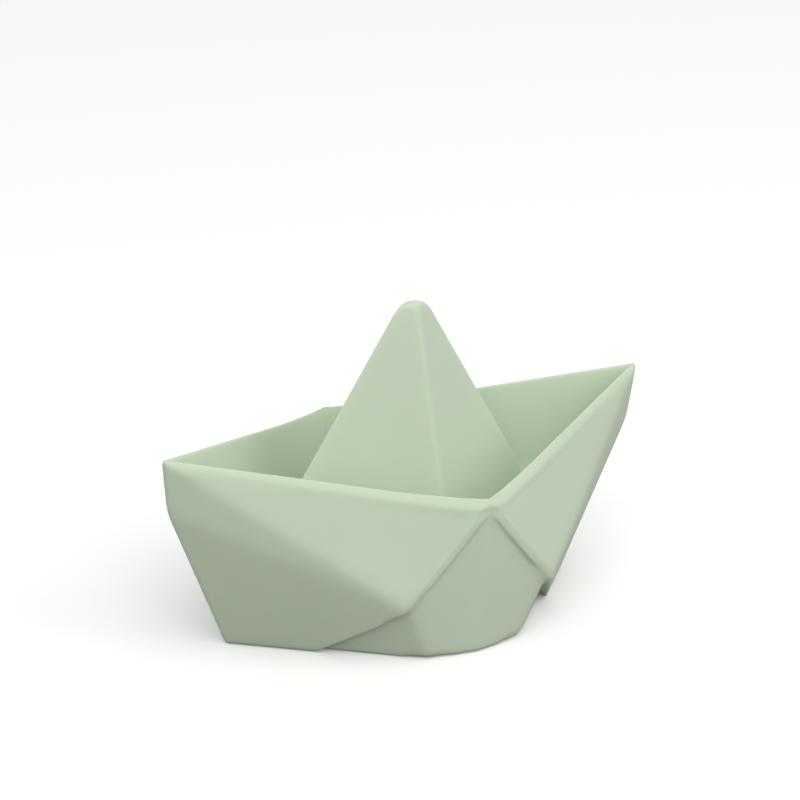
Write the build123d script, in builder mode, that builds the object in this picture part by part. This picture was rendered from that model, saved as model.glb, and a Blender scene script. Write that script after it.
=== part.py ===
"""A toy sailboat in the form of a folded paper boat, moulded in one piece.

Millimetres. X runs along the hull, Y across it and Z up, with the origin in the
middle of the flat bottom. The two ends are alike, and so are the two sides.
"""

from build123d import *

import os

os.makedirs("parts", exist_ok=True)

# The rim runs from a tip at each end down to a low corner in the middle of each side
tip_reach = 78.4
tip_height = 56.2
sheer_drop = 13.7
beam_reach = 39.4
beam_dip_half_length = 8.0

# The stem drops from under the tip to a bend, and from there to the flat bottom
stem_bend_setback = 2.2
stem_bend_drop = 14.6
stem_bend_round = 20.0
keel_setback = 22.3

# The flap corner, where the fold down the side meets the long fold from the tip
flap_setback = 53.9
flap_tuck = 2.6
flap_height = 17.2

# The rim's lip stands proud of the flaps, and the flaps of the hull between them
rim_lip = 0.6
rim_band = 3.2
rim_band_at_tip = 1.6
flap_thickness = 2.2
crease_depth = 0.5
crease_lean = 1.4

# The open hull, whose walls lean inwards down to a narrow floor round the sail
rim_thickness = 1.3
rim_thickness_at_tip = 2.6
wall_lean = 5.0
valley_depth = 15.5

# The sail is a pyramid on four folds, with a blunt top
sail_top = 87.3
sail_blunting = 5.0
sail_setback = 17.9
sail_side_gap = 8.8

# Soft edges of the moulding
fold_round = 1.5
keel_round = 1.5
beam_round = 2.0
rim_round = 0.5
sail_round = 1.5
inner_round = 0.6
floor_round = 3.0

# What follows from these sizes
beam_height = tip_height - sheer_drop
floor_height = beam_height - valley_depth
flap_reach = tip_reach - flap_setback
flap_half_beam = beam_reach - flap_tuck
sail_peak = sail_top + sail_blunting
block_half_length = tip_reach + 10
block_half_beam = beam_reach + 10
block_height = tip_height + 10
ends_and_sides = [(fore, side) for fore in (1, -1) for side in (1, -1)]


def corners(fore, side, lip=0):
    """The hull's corners at one end and on one side, with the side moved out by a lip."""
    tip = Vector(fore * tip_reach, 0, tip_height)
    beam = Vector(0, side * (beam_reach + lip), beam_height)
    flap = Vector(fore * flap_reach, side * (flap_half_beam + lip), flap_height)
    bend = Vector(fore * (tip_reach - stem_bend_setback), 0, tip_height - stem_bend_drop)
    keel = Vector(fore * (tip_reach - keel_setback), 0, 0)
    return tip, beam, flap, bend, keel


def crease_foot(side, inset=0):
    """Where the crease down the middle of one side reaches the bottom."""
    return Vector(0, side * (beam_reach - crease_lean - inset), 0)


def facet(first, second, third, inset=0):
    """The plane through three corners, facing outwards and moved in by an inset."""
    normal = (second - first).cross(third - first).normalized()
    if normal.dot(first - Vector(0, 0, flap_height)) < 0:
        normal = normal * -1
    return Plane(origin=first - normal * inset, z_dir=normal)


def trim_to_facets(lip=0):
    """Cuts the block in hand down to the hull's facets, with the sides moved out by a lip.

    The side between the flaps is a ridge along the crease, but it is flat under a lip.
    """
    for fore, side in ends_and_sides:
        tip, beam, flap, bend, keel = corners(fore, side, lip)
        split(bisect_by=facet(tip, beam, flap), keep=Keep.BOTTOM)
        level_with_flap = Vector(-flap.X, flap.Y, flap.Z)
        split(bisect_by=facet(beam, flap, level_with_flap if lip else crease_foot(side)), keep=Keep.BOTTOM)
        tip, beam, flap, bend, keel = corners(fore, side)
        split(bisect_by=facet(tip, bend, flap), keep=Keep.BOTTOM)
        split(bisect_by=facet(bend, keel, flap), keep=Keep.BOTTOM)


def along(first, second):
    """A test for edges that lie on the line between two corners."""
    way = (second - first).normalized()
    reach = (second - first).length

    def lies_along(edge):
        points = [edge.position_at(share) - first for share in (0.25, 0.75)]
        return all(way.cross(p).length < 0.1 and 0 < way.dot(p) < reach for p in points)

    return lies_along


def below(flap):
    """A test for the edge that runs from a flap corner down to the bottom."""

    def lies_below(edge):
        low, high = sorted((edge.position_at(0), edge.position_at(1)), key=lambda point: point.Z)
        return low.Z < 0.001 and (high - flap).length < flap_height / 3

    return lies_below


def on_centreline(edge):
    """A test for edges of the stem, which lie on the hull's middle plane."""
    return all(abs(edge.position_at(share).Y) < 0.001 for share in (0, 0.5, 1))


def amidships(edge):
    """A test for the short edges of the rim's low corners, in and beside the middle section."""
    low, high = sorted((edge.position_at(0), edge.position_at(1)), key=lambda point: point.Z)
    level = GeomType.LINE if abs(low.Y) > beam_reach / 2 else None
    return edge.geom_type == level and abs(high.X) < 0.001


def along_sheer(edge):
    """A test for edges that run along the rim's top, and not across it."""
    rise = sheer_drop / tip_reach
    points = [edge.position_at(share) for share in (0, 0.5, 1)]
    across = abs(points[0].X - points[2].X) < 0.001 and edge.geom_type == GeomType.LINE
    return not across and all(p.Z > beam_height + rise * abs(p.X) - 0.05 for p in points)


def along_bottom(edge):
    """A test for edges of the flat bottom."""
    return all(edge.position_at(share).Z < 0.001 for share in (0, 0.5, 1))


def between_walls(edge):
    """A test for the edges where two of the hollow's leaning walls meet."""
    ends = [edge.position_at(share) for share in (0, 0.5, 1)]
    steep = abs(ends[0].Z - ends[2].Z) > 0.1
    return steep and (all(abs(p.X) < 0.001 for p in ends) or all(abs(p.Y) < 0.001 for p in ends))


def sheer(drop, drop_at_tip):
    """The rim's line in side view, lowered by a drop and carried past both tips."""
    rise = (sheer_drop + drop - drop_at_tip) / tip_reach
    end_height = beam_height - drop + rise * block_half_length
    return [(-block_half_length, end_height), (0, beam_height - drop), (block_half_length, end_height)]


def round_dips(view):
    """Rounds the low corners of a side view, over the same length on both sides."""
    low_corners = view.vertices().filter_by(lambda v: abs(v.X) < 0.001)
    fillet(low_corners, beam_dip_half_length * tip_reach / sheer_drop)


with BuildPart() as hull:
    # The side view up to the rim, cut down to the facets of the folded form
    with BuildSketch(Plane.XZ) as side_view:
        with BuildLine():
            Polyline((-block_half_length, 0), *sheer(0, 0), (block_half_length, 0), close=True)
        make_face()
        round_dips(side_view)
    extrude(amount=block_half_beam, both=True)
    trim_to_facets()

    # The bend in the stem runs on over the bow to the flap corners
    bend_lines = []
    for fore, side in ends_and_sides:
        tip, beam, flap, bend, keel = corners(fore, side)
        bend_lines += hull.edges().filter_by(along(bend, flap))
    fillet(bend_lines, stem_bend_round)

    # The stems, the long folds from the tips and the corners below the flaps
    folds = hull.edges().filter_by(on_centreline)
    for fore, side in ends_and_sides:
        tip, beam, flap, bend, keel = corners(fore, side)
        folds += hull.edges().filter_by(along(tip, flap))
        folds += hull.edges().filter_by(below(flap))
    fillet(folds, fold_round)

    # The edge of the flat bottom
    fillet(hull.edges().filter_by(along_bottom), keel_round)

with BuildPart() as band:
    # A band under the rim's line, as deep as the rim
    with BuildSketch(Plane.XZ) as rim_view:
        with BuildLine():
            Polyline(*sheer(0, 0), *reversed(sheer(rim_band, rim_band_at_tip)), close=True)
        make_face()
        round_dips(rim_view)
    extrude(amount=block_half_beam, both=True)

with BuildPart() as rim:
    # The rim fills the band, out to a lip over the flaps that runs out at the stems
    add(band.part)
    trim_to_facets(rim_lip)
    fillet(rim.edges().filter_by(on_centreline), fold_round)
    fillet(rim.edges().filter_by(amidships), beam_round)
    fillet(rim.edges().filter_by(along_sheer), rim_round)

with BuildPart() as middle:
    # The hull as it is between the flaps, with the crease down the middle of each side
    with BuildSketch():
        Rectangle(2 * block_half_length, 2 * block_half_beam)
    extrude(amount=block_height)
    for fore, side in ends_and_sides:
        tip, beam, flap, bend, keel = corners(fore, side)
        crease_top = Vector(0, side * (beam_reach - crease_depth), beam_height)
        under_flap = flap - Vector(0, side * flap_thickness, 0)
        split(bisect_by=facet(crease_top, crease_foot(side, crease_depth), under_flap), keep=Keep.BOTTOM)
        split(bisect_by=facet(bend, keel, flap, flap_thickness), keep=Keep.BOTTOM)
    fillet(middle.edges().filter_by(along_bottom), keel_round)

with BuildPart() as between_flaps:
    # All that lies between the flaps' edges, outside the middle of the hull
    flap_edge_slope = flap_reach / (beam_height - flap_height)
    between_half_length = flap_edge_slope * (beam_height - rim_band)
    with BuildSketch(Plane.XZ):
        with BuildLine():
            Polyline(
                (-between_half_length, 0),
                (0, beam_height - rim_band),
                (between_half_length, 0),
                close=True,
            )
        make_face()
    extrude(amount=block_half_beam, both=True)
    add(middle.part, mode=Mode.SUBTRACT)

with BuildPart() as hollow:
    # The open inside of the hull, between four leaning walls and above the floor
    with BuildSketch(Plane.XY.offset(floor_height)):
        Rectangle(2 * block_half_length, 2 * block_half_beam)
    extrude(amount=block_height)
    for fore, side in ends_and_sides:
        inner_tip = Vector(fore * (tip_reach - rim_thickness_at_tip), 0, tip_height)
        inner_beam = Vector(0, side * (beam_reach - rim_thickness), beam_height)
        wall_foot = Vector(0, inner_beam.Y - side * wall_lean, floor_height)
        split(bisect_by=facet(inner_tip, inner_beam, wall_foot), keep=Keep.BOTTOM)
    fillet(hollow.edges().group_by(Axis.Z)[0], floor_round)
    fillet(hollow.edges().filter_by(between_walls), inner_round)

with BuildPart() as sail:
    # The sail stands on the floor, and its blunt top and folds share one soft edge
    with BuildSketch(Plane.XY.offset(floor_height / 2)):
        Rectangle(2 * block_half_length, 2 * block_half_beam)
    extrude(amount=sail_top - floor_height / 2)
    peak = Vector(0, 0, sail_peak)
    for fore, side in ends_and_sides:
        end_foot = Vector(fore * (tip_reach - sail_setback), 0, 0)
        side_foot = Vector(0, side * (beam_reach - sail_side_gap), 0)
        split(bisect_by=facet(peak, end_foot, side_foot), keep=Keep.BOTTOM)
    fillet(sail.edges().filter_by(lambda edge: edge.center().Z > floor_height), sail_round)

with BuildPart() as boat:
    add(hull.part)
    add(band.part, mode=Mode.SUBTRACT)
    add(rim.part)
    add(between_flaps.part, mode=Mode.SUBTRACT)
    add(hollow.part, mode=Mode.SUBTRACT)
    add(sail.part)

boat.part.label = "boat"
export_step(boat.part, "parts/boat.step")
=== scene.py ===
# %% [markdown]
# # A toy sailboat of soft rubber, in the form of a folded paper boat
#
# The real toy is one hollow moulding of matte, pale green rubber. It copies a
# sheet of paper that was folded into a boat: a hull of flat facets, a thin rim
# round the top, two flaps on each side that meet in a low corner, and a
# pointed sail in the middle. The solid model already has all of these shapes
# at their real size. What is left for Blender is what a mould and soft rubber
# do to them: folds that are blunt instead of sharp, a skin that isn't quite
# even, and the way that light sinks into the surface.

import math

import bpy
import numpy as np
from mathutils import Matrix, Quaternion, Vector


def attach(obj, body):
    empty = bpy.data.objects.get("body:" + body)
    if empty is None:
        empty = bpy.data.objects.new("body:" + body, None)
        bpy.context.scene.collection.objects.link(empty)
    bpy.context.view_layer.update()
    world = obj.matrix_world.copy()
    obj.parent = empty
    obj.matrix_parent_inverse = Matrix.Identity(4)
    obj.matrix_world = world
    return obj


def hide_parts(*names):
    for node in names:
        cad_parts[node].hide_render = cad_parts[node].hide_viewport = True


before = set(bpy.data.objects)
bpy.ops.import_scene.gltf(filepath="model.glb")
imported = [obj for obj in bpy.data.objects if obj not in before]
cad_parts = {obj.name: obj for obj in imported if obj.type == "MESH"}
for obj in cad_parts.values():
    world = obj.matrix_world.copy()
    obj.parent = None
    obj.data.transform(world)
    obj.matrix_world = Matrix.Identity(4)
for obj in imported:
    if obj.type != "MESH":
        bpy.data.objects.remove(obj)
bpy.ops.object.select_all(action="DESELECT")

MM = 0.001
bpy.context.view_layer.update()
solid_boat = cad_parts["boat"]

# %% [markdown]
# ## The places that the folds run between
#
# A folded boat is easy to describe by its corners. Each side has a low corner
# in the middle of the rim, called the beam here, and two flap corners, where
# the fold down the side meets the long fold that comes from the tip. With the
# corners written down once, every later step can find its fold by measuring
# how far a point lies from the line between two corners.

# %% The corners of one quarter of the boat, in metres
tip_corner = Vector((78.4, 0.0, 56.2)) * MM
beam_corner = Vector((0.0, 39.4, 42.5)) * MM
flap_corner = Vector((24.5, 36.8, 17.2)) * MM
fold_under_flap = Vector((23.7, 34.7, 18.0)) * MM
foot_of_fold = Vector((14.2, 35.5, 0.0)) * MM
sail_end = Vector((60.5, 0.0, 0.0)) * MM
sail_side = Vector((0.0, 30.6, 0.0)) * MM
sail_peak = Vector((0.0, 0.0, 92.3)) * MM
sail_top = Vector((0.0, 0.0, 87.3)) * MM

print("The long fold of a flap is", round((tip_corner - flap_corner).length / MM, 1), "mm long")

# %% [markdown]
# ## A skin for the boat
#
# Rubber has no sharp edges, and its folds aren't all equally soft. Bevelling
# each edge by hand would give every fold one even radius, which looks machined.
# A remesh works better here: the solid's copy is merged into one closed skin
# and wrapped in small, even squares, the way a potter would cover a form with
# a layer of slip. Such a skin can be smoothed a lot in one place and hardly at
# all in another.
#
# Two things are done around the remesh. The sail's folds are crisper than the
# solid's, so a plain cone of four sides is joined to the copy first, and the
# remesh fuses the two. It also leaves small stairs on slanting faces, which
# Shrinkwrap presses flat on a second copy of the form.

# %% Copy the solid's mesh, with its doubles merged
boat_skin = solid_boat.copy()
boat_skin.data = solid_boat.data.copy()
boat_skin.name = "boat_skin"
boat_skin.data.name = "boat_skin"
bpy.context.scene.collection.objects.link(boat_skin)
boat_skin.select_set(True)
bpy.context.view_layer.objects.active = boat_skin

bpy.ops.object.mode_set(mode="EDIT")
bpy.ops.mesh.select_all(action="SELECT")
bpy.ops.mesh.remove_doubles(threshold=0.001 * MM)
bpy.ops.object.mode_set(mode="OBJECT")
print("The merged copy has", len(boat_skin.data.vertices), "points")

# %% A cone of four sides for the sail, a little wider than its corners to allow for the smoothing
cone_foot = 18 * MM
foot_share = 1 - cone_foot / sail_peak.z
top_share = 1 - sail_top.z / sail_peak.z
worn_off = 0.6 * MM / sail_end.x
bpy.ops.mesh.primitive_cone_add(
    vertices=4,
    radius1=foot_share + worn_off,
    radius2=top_share + worn_off,
    depth=sail_top.z - cone_foot,
    location=(0, 0, (sail_top.z + cone_foot) / 2),
    scale=(sail_end.x, sail_side.y, 1),
)
bpy.ops.object.transform_apply(location=True, rotation=True, scale=True)
boat_skin.select_set(True)
bpy.context.view_layer.objects.active = boat_skin
bpy.ops.object.join()

form = boat_skin.copy()
form.data = boat_skin.data.copy()
form.name = "form"
bpy.context.scene.collection.objects.link(form)
print("The form has", len(form.data.polygons), "faces")

# %% Wrap both in one skin, and press the skin's points onto the form again
skin_square = 0.38 * MM

wrap = boat_skin.modifiers.new("wrap", "REMESH")
wrap.mode = "VOXEL"
wrap.voxel_size = skin_square
bpy.ops.object.modifier_apply(modifier=wrap.name)

press = boat_skin.modifiers.new("press", "SHRINKWRAP")
press.target = form
press.wrap_method = "NEAREST_SURFACEPOINT"
bpy.ops.object.modifier_apply(modifier=press.name)
bpy.data.objects.remove(form)
print("The skin has", len(boat_skin.data.vertices), "points")

# %% [markdown]
# ## The rim's slope and the flaps' edges
#
# On the real boat the rim is a pale slope that faces upwards, and below it the
# flaps lie close on the middle of each side. No modifier makes such a slope
# along a slanting line. NumPy does: it reads the places of all the skin's
# points as rows of numbers, works out for each how far it has to move, and
# hands them back. The boat is alike in all four quarters, so the sums are done
# for one quarter, and each point's own signs turn the move to its quarter.


# %% Read and move the skin's points
def skin_points():
    """The skin's points, as rows of X, Y and Z."""
    places = np.empty(len(boat_skin.data.vertices) * 3)
    boat_skin.data.vertices.foreach_get("co", places)
    return places.reshape(-1, 3)


def move_points(places):
    """Puts the skin's points at new places."""
    boat_skin.data.vertices.foreach_set("co", places.ravel())
    boat_skin.data.update()


def in_own_quarter(steps, places):
    """Steps or places that are given for one quarter, turned to each point's own quarter."""
    return steps * np.sign(places + 1e-12)


# %% The line of the rim, and the outer face of the flaps
def rim_height(places):
    """The height of the rim's line beside each point."""
    return beam_corner.z + (tip_corner.z - beam_corner.z) * places[:, 0] / tip_corner.x


outwards = (flap_corner - beam_corner).cross(tip_corner - beam_corner).normalized()
if outwards.y < 0:
    outwards.negate()
flap_offset = outwards.dot(beam_corner)
print("The flaps face", [round(share, 2) for share in outwards])

# %% Push the rim's outer face back to a slope, broad at the beam and narrow at the tips
slope_depth_at_tip = 1.2
slope_deepens = 1.4
lip_at_tip = 0.1
lip_grows = 0.45
steepness = 0.55
thinnest_rim = 2.0 * MM

places = skin_points()
one_quarter = np.abs(places)
proud = one_quarter @ np.array(outwards) - flap_offset
under_rim = rim_height(one_quarter) - one_quarter[:, 2]
share_of_beam = 1 - one_quarter[:, 0] / tip_corner.x
slope_depth = (slope_depth_at_tip + slope_deepens * share_of_beam) * MM
limit = (lip_at_tip + lip_grows * share_of_beam) * MM - steepness * (slope_depth - under_rim)
on_slope = (under_rim < slope_depth) & (proud > limit) & (proud > -thinnest_rim)
too_proud = np.where(on_slope, proud - limit, 0)
move_points(places - too_proud[:, None] * in_own_quarter(np.array(outwards), places))
print("The rim's slope moved", int(on_slope.sum()), "points, by up to", round(too_proud.max() / MM, 2), "mm")

# %% Find the middle of each side, between the flaps' edges
middle_out = np.array((0.1400, 0.9896, -0.0326))
middle_offset = 37.11 * MM
flap_drop = beam_corner.z - flap_corner.z

places = skin_points()
one_quarter = np.abs(places)
above_middle = one_quarter @ middle_out - middle_offset
drop = beam_corner.z - one_quarter[:, 2]
flap_edge_x = flap_corner.x * drop / flap_drop
between_flaps = (one_quarter[:, 0] < flap_edge_x + 0.1 * MM) & (one_quarter[:, 1] > 25 * MM)
print("Between the flaps lie", int(between_flaps.sum()), "points")

# %% The middle runs up under the lip, and comes out towards the flaps' edges for a shallow step
lip_from, lip_to = 1.8 * MM, 3.6 * MM
deepest_lip = 2 * MM
under_lip = between_flaps & (drop > lip_from) & (drop < lip_to)
inwards = np.where(under_lip, np.clip(above_middle, 0, deepest_lip), 0)

step_filled = 1.0 * MM
along_edge = np.clip(drop / flap_drop, 0, 1) * np.clip(one_quarter[:, 2] / flap_corner.z, 0, 1)
across = np.clip(one_quarter[:, 0] / np.maximum(flap_edge_x, 1 * MM), 0, 1)
step_height = (0.5 + 1.9 * along_edge) * MM
on_step = np.clip(1 - above_middle / step_height, 0, 1) * np.clip(1 + above_middle / (1.5 * MM), 0, 1)
inwards -= np.where(between_flaps, step_filled * along_edge * across * on_step, 0)

move_points(places - inwards[:, None] * in_own_quarter(middle_out, places))
print("The middle moved by", round(-inwards.min() / MM, 2), "mm outwards at most")


# %% Measure each point's distance from a line between two corners
def distance_and_share(first, second):
    """How far each point lies from a line, and how far along the line it is, from 0 to 1."""
    start = np.array(first)
    way = np.array(second) - start
    share = np.clip((one_quarter - start) @ way / (way @ way), 0, 1)
    nearest = start + share[:, None] * way
    return np.linalg.norm(one_quarter - nearest, axis=1), share


def fade(distance, width):
    """1 on the line itself, 0 beyond the width, and an even slope over the outer half."""
    return np.clip(2 * (1 - distance / width), 0, 1)


# %% The flaps' free edges are the crispest on the boat: the points beside one move onto its line
places = skin_points()
one_quarter = np.abs(places)
to_flap_edge, along_flap_edge = distance_and_share(beam_corner, flap_corner)
edge_way = np.array(flap_corner - beam_corner)
on_line = np.array(beam_corner) + along_flap_edge[:, None] * edge_way
below_lip = one_quarter[:, 2] < beam_corner.z - lip_to
on_edge = (to_flap_edge < 0.3 * MM) & below_lip & (along_flap_edge < 0.9)
places[on_edge] = in_own_quarter(on_line, places)[on_edge]
move_points(places)
print("The flaps' edges took", int(on_edge.sum()), "points")

# %% [markdown]
# ## How soft each fold is
#
# The folds of a rubber boat differ in softness. The long folds of the flaps are
# crisp at the tip and grow softer towards the flap corner, the flaps' free
# edges stay crisp, and the sail's top is as blunt as a fingertip. A vertex
# group holds that as a number from 0 to 1 for each point, and the Smooth
# modifier reads it: more passes with the same group make a wider fold. The
# points keep their order, so a distance that was measured once serves all the
# steps.


# %% Smooth the skin by each point's own softness
def smooth_where(group_name, softness, passes):
    """Smooths the skin as many times as asked, by each point's own softness."""
    group = boat_skin.vertex_groups.new(name=group_name)
    steps = np.round(np.clip(softness, 0, 1) * 20).astype(int)
    for step in range(1, 21):
        group.add(np.nonzero(steps == step)[0].tolist(), step / 20, "REPLACE")
    soft = boat_skin.modifiers.new(group_name, "SMOOTH")
    soft.factor = 0.5
    soft.iterations = passes
    soft.vertex_group = group_name
    bpy.ops.object.modifier_apply(modifier=soft.name)
    boat_skin.vertex_groups.remove(boat_skin.vertex_groups[group_name])
    print(group_name, "covers", int((steps > 0).sum()), "points")


# %% The whole skin, as the mould leaves it
crisp = fade(to_flap_edge, 1.6 * MM) * np.clip((1 - along_flap_edge) * 4, 0, 1)
smooth_where("mould_edges", 1 - 0.8 * crisp, 6)

# %% The long folds, and the folds that go on from them to the foot
below_rim = np.clip((rim_height(one_quarter) - one_quarter[:, 2]) / (1.5 * MM) - 2, 0, 1)

to_long_fold, along_long_fold = distance_and_share(tip_corner, flap_corner)
fold_width = (3.0 + 6.0 * along_long_fold) * MM
long_fold = fade(to_long_fold, fold_width) * np.clip(along_long_fold * 10, 0, 1)
foot_fold = fade(distance_and_share(fold_under_flap, foot_of_fold)[0], 7 * MM)
smooth_where("long_folds", np.maximum(long_fold, foot_fold) * below_rim * (1 - crisp), 160)

# %% The foot of the rim's slope, which runs out softly into the flaps
slope_foot_at_tip = tip_corner - Vector((0, 0, 1.6)) * MM
slope_foot_at_beam = beam_corner + Vector((0, 0.3, -3.0)) * MM
to_slope_foot, along_slope_foot = distance_and_share(slope_foot_at_tip, slope_foot_at_beam)
slope_foot = fade(to_slope_foot, (1.6 + 1.6 * along_slope_foot) * MM)
smooth_where("slope_foot", slope_foot * np.clip(along_slope_foot * 8, 0, 1), 60)

# %% The low corner of the rim, where the two slopes and the flaps' edges meet
rim_at_beam = beam_corner + Vector((0, -1.3, 0.6)) * MM
smooth_where("low_corner", fade(distance_and_share(rim_at_beam, beam_corner)[0], 4 * MM), 12)

# %% The folds down the sail's sides are very soft
smooth_where("sail_folds", fade(distance_and_share(sail_top, sail_side)[0], 6 * MM), 60)

# %% The sail's top is trimmed to a dome that meets its folds without a step
dome_middle = np.array((0, 0, 80.8)) * MM
dome_reach = np.array((7.1, 3.6, 6.0)) * MM
dome_foot = 83.7 * MM

places = skin_points()
outside = np.linalg.norm((places - dome_middle) / dome_reach, axis=1)
to_trim = (places[:, 2] > dome_foot) & (outside > 1)
places[to_trim] = (dome_middle + (places - dome_middle) / outside[:, None])[to_trim]
move_points(places)
to_sail_top = np.linalg.norm(one_quarter - np.array(sail_top), axis=1)
smooth_where("sail_top", fade(to_sail_top, 7 * MM), 30)
print("The sail's top is now at", round(skin_points()[:, 2].max() / MM, 2), "mm")

# %% The hollow round the sail's foot
floor_height = 27 * MM
wall_out = np.array((0.4660, 0.8463, -0.2563))
wall_at_beam = np.array((0.0, 38.1, 42.5))
inside_wall = one_quarter @ wall_out < wall_out @ wall_at_beam * MM + 0.3 * MM
inside_hull = (one_quarter[:, 2] > floor_height - 1 * MM) & inside_wall
near_floor = np.clip(2 - (one_quarter[:, 2] - floor_height) / (4 * MM), 0, 1)
smooth_where("sail_foot", near_floor * inside_hull, 200)

# %% The rim dips over a longer way than the solid's, so its low corners come up a little
low_corner_rise = 1.15 * MM
places = skin_points()
near_low_corner = np.clip(1 - np.abs(places[:, 0]) / (32 * MM), 0, 1) ** 2
near_side = np.clip((np.abs(places[:, 1]) - 26 * MM) / (6 * MM), 0, 1)
near_top = np.clip((np.abs(places[:, 2]) - 16 * MM) / (22 * MM), 0, 1)
places[:, 2] += low_corner_rise * near_low_corner * near_side * near_top
move_points(places)
print("The rim's low corners are up by", round(low_corner_rise / MM, 2), "mm")

# %% [markdown]
# ## Fewer faces where the skin is flat
#
# The squares are only needed where the skin bends. Decimate's collapse merges
# the ones on the flat facets first, because that changes the shape least.


# %% Thin the skin out
def triangle_count():
    """How many triangles the skin's faces come to."""
    return sum(len(face.vertices) - 2 for face in boat_skin.data.polygons)


most_triangles = 190_000
thin = boat_skin.modifiers.new("thin", "DECIMATE")
thin.ratio = most_triangles / triangle_count()
bpy.ops.object.modifier_apply(modifier=thin.name)
bpy.ops.object.shade_smooth()
print("The skin is down to", triangle_count(), "triangles")

# %% The skin stands for the solid boat from here on
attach(boat_skin, "root")
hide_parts("boat")

# %% [markdown]
# ## Matte rubber
#
# The rubber is dyed right through and has no paint on it, so its colour hardly
# varies: there is only a slow drift in the green. Its surface is matte with a
# broad, weak sheen, and a little duller in some places than in others, as
# handled rubber is. Some light goes in and comes out again nearby, which is
# what makes it look soft, and a very fine grain breaks up the highlights.


# %% The rubber's material
def rubber_finish():
    """Pale green rubber, with its grain and its slow drift of colour."""
    rubber = bpy.data.materials.new("rubber")
    rubber.use_nodes = True
    nodes, links = rubber.node_tree.nodes, rubber.node_tree.links
    shader = nodes["Principled BSDF"]
    shader.inputs["Subsurface Weight"].default_value = 0.4
    shader.inputs["Subsurface Radius"].default_value = (1.0, 1.2, 0.8)
    shader.inputs["Subsurface Scale"].default_value = 4.0 * MM
    shader.inputs["Specular IOR Level"].default_value = 0.35
    shader.inputs["Sheen Weight"].default_value = 0.08
    shader.inputs["Sheen Roughness"].default_value = 0.5

    place = nodes.new("ShaderNodeTexCoord")

    drift = nodes.new("ShaderNodeTexNoise")
    drift.inputs["Scale"].default_value = 28
    drift.inputs["Detail"].default_value = 3
    dye = nodes.new("ShaderNodeValToRGB")
    dye.color_ramp.elements[0].position = 0.3
    dye.color_ramp.elements[0].color = (0.55, 0.64, 0.492, 1)
    dye.color_ramp.elements[1].position = 0.7
    dye.color_ramp.elements[1].color = (0.575, 0.66, 0.52, 1)
    links.new(place.outputs["Object"], drift.inputs["Vector"])
    links.new(drift.outputs["Fac"], dye.inputs["Fac"])
    links.new(dye.outputs["Color"], shader.inputs["Base Color"])

    handling = nodes.new("ShaderNodeTexNoise")
    handling.inputs["Scale"].default_value = 90
    handling.inputs["Detail"].default_value = 4
    dullness = nodes.new("ShaderNodeMapRange")
    dullness.inputs["To Min"].default_value = 0.52
    dullness.inputs["To Max"].default_value = 0.66
    links.new(place.outputs["Object"], handling.inputs["Vector"])
    links.new(handling.outputs["Fac"], dullness.inputs["Value"])
    links.new(dullness.outputs["Result"], shader.inputs["Roughness"])

    grain = nodes.new("ShaderNodeTexNoise")
    grain.inputs["Scale"].default_value = 1800
    grain.inputs["Detail"].default_value = 2
    waves = nodes.new("ShaderNodeTexNoise")
    waves.inputs["Scale"].default_value = 70
    waves.inputs["Detail"].default_value = 1
    slow_bump = nodes.new("ShaderNodeBump")
    slow_bump.inputs["Strength"].default_value = 0.25
    slow_bump.inputs["Distance"].default_value = 0.6 * MM
    fine_bump = nodes.new("ShaderNodeBump")
    fine_bump.inputs["Strength"].default_value = 0.12
    fine_bump.inputs["Distance"].default_value = 0.05 * MM
    links.new(place.outputs["Object"], waves.inputs["Vector"])
    links.new(place.outputs["Object"], grain.inputs["Vector"])
    links.new(waves.outputs["Fac"], slow_bump.inputs["Height"])
    links.new(grain.outputs["Fac"], fine_bump.inputs["Height"])
    links.new(slow_bump.outputs["Normal"], fine_bump.inputs["Normal"])
    links.new(fine_bump.outputs["Normal"], shader.inputs["Normal"])
    print("The rubber's finish has", len(nodes), "nodes")
    return rubber


rubber = rubber_finish()
boat_skin.data.materials.clear()
boat_skin.data.materials.append(rubber)
for slot in solid_boat.material_slots:
    slot.material = rubber

# %% [markdown]
# ## A floor and plain studio light
#
# The floor is a plain pale sheet that keeps the boat's shadow. The light is
# that of a product photograph: one large soft lamp on each side of the camera,
# a third above, and a pale room all round, so that no facet falls dark.

# %% Floor, a hair under the boat's flat bottom so that the two faces don't fight
bpy.ops.mesh.primitive_plane_add(size=6.0, location=(0, 0, -0.05 * MM))
floor = bpy.context.object
floor.name = "floor"

floor_paint = bpy.data.materials.new("floor_paint")
floor_paint.use_nodes = True
floor_nodes, floor_links = floor_paint.node_tree.nodes, floor_paint.node_tree.links
floor_shader = floor_nodes["Principled BSDF"]
floor_shader.inputs["Roughness"].default_value = 0.9
floor_shader.inputs["Specular IOR Level"].default_value = 0.1
ray_kind = floor_nodes.new("ShaderNodeLightPath")
floor_tone = floor_nodes.new("ShaderNodeMix")
floor_tone.data_type = "RGBA"
floor_tone.inputs["A"].default_value = (0.33, 0.33, 0.32, 1)
floor_tone.inputs["B"].default_value = (0.93, 0.93, 0.93, 1)
floor_shader.inputs["Emission Color"].default_value = (1, 1, 1, 1)
floor_lift = floor_nodes.new("ShaderNodeMapRange")
floor_lift.inputs["To Max"].default_value = 0.14
floor_links.new(ray_kind.outputs["Is Camera Ray"], floor_lift.inputs["Value"])
floor_links.new(floor_lift.outputs["Result"], floor_shader.inputs["Emission Strength"])
floor_links.new(ray_kind.outputs["Is Camera Ray"], floor_tone.inputs["Factor"])
floor_links.new(floor_tone.outputs["Result"], floor_shader.inputs["Base Color"])
floor.data.materials.append(floor_paint)


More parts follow.
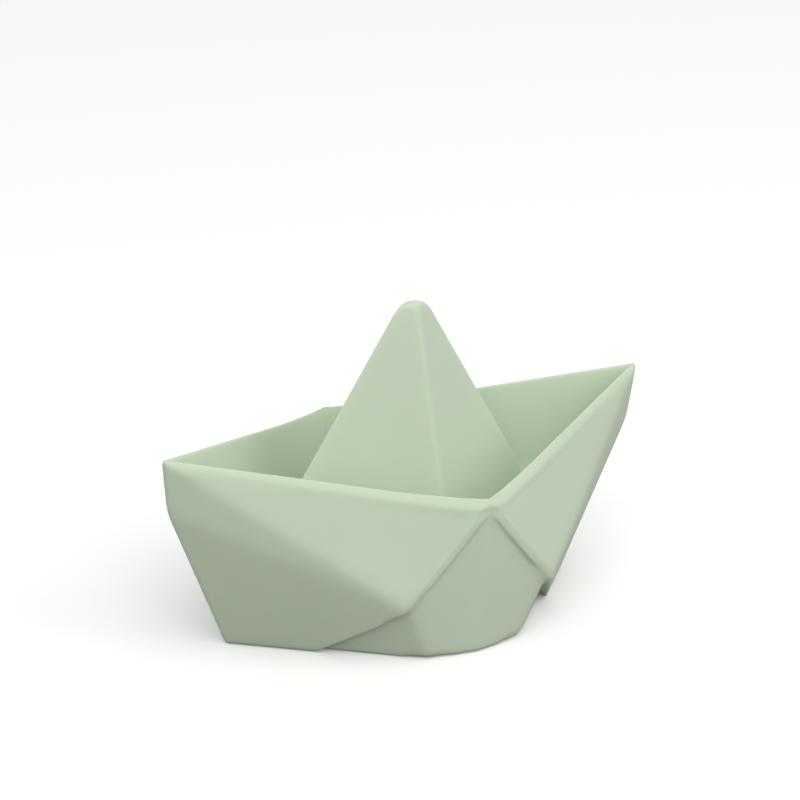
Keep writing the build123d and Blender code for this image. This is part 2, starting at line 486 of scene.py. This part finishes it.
# %% Lamps and room
def soft_lamp(name, watts, width, place):
    """A square lamp of some width that looks at the middle of the boat."""
    lamp_data = bpy.data.lights.new(name, "AREA")
    lamp_data.energy = watts
    lamp_data.size = width
    lamp = bpy.data.objects.new(name, lamp_data)
    bpy.context.scene.collection.objects.link(lamp)
    lamp.location = place
    lamp.rotation_euler = (Vector((0, 0, 0.04)) - Vector(place)).to_track_quat("-Z", "Y").to_euler()
    print(name, "gives", watts, "W from", place)


soft_lamp("left_lamp", 6.3, 1.0, (-0.63, -0.84, 0.92))
soft_lamp("right_lamp", 3.9, 1.0, (0.77, -0.84, 0.81))
soft_lamp("top_lamp", 2.6, 1.2, (0.0, -0.3, 1.45))

room = bpy.data.worlds.new("room")
bpy.context.scene.world = room
room.use_nodes = True
room_light = room.node_tree.nodes["Background"]
room_light.inputs["Color"].default_value = (1, 1, 1, 1)
room_rays = room.node_tree.nodes.new("ShaderNodeLightPath")
room_level = room.node_tree.nodes.new("ShaderNodeMapRange")
room_level.inputs["To Min"].default_value = 0.64
room_level.inputs["To Max"].default_value = 1.0
room.node_tree.links.new(room_rays.outputs["Is Camera Ray"], room_level.inputs["Value"])
room.node_tree.links.new(room_level.outputs["Result"], room_light.inputs["Strength"])

# %% [markdown]
# ## The camera
#
# The photograph was taken from well back with a long lens, so the boat hardly
# gets smaller towards its far end. The boat leans a little in the photograph,
# and the camera's small roll takes that up, because the part itself stands
# level.

# %% Camera
camera_place = Vector((-0.6985, -0.9409, 0.4999))
camera_way = Vector((0.5566, 0.7524, -0.3524))
camera_roll = math.radians(2.98)

camera_data = bpy.data.cameras.new("camera")
camera_data.sensor_width = 36
camera_data.lens = 211.7
camera_data.clip_start = 0.05
camera_data.clip_end = 20
camera = bpy.data.objects.new("camera", camera_data)
bpy.context.scene.collection.objects.link(camera)
camera.location = camera_place
camera.rotation_mode = "QUATERNION"
camera.rotation_quaternion = camera_way.to_track_quat("-Z", "Y") @ Quaternion((0, 0, 1), camera_roll)
bpy.context.scene.camera = camera
bpy.context.scene.view_settings.view_transform = "Standard"
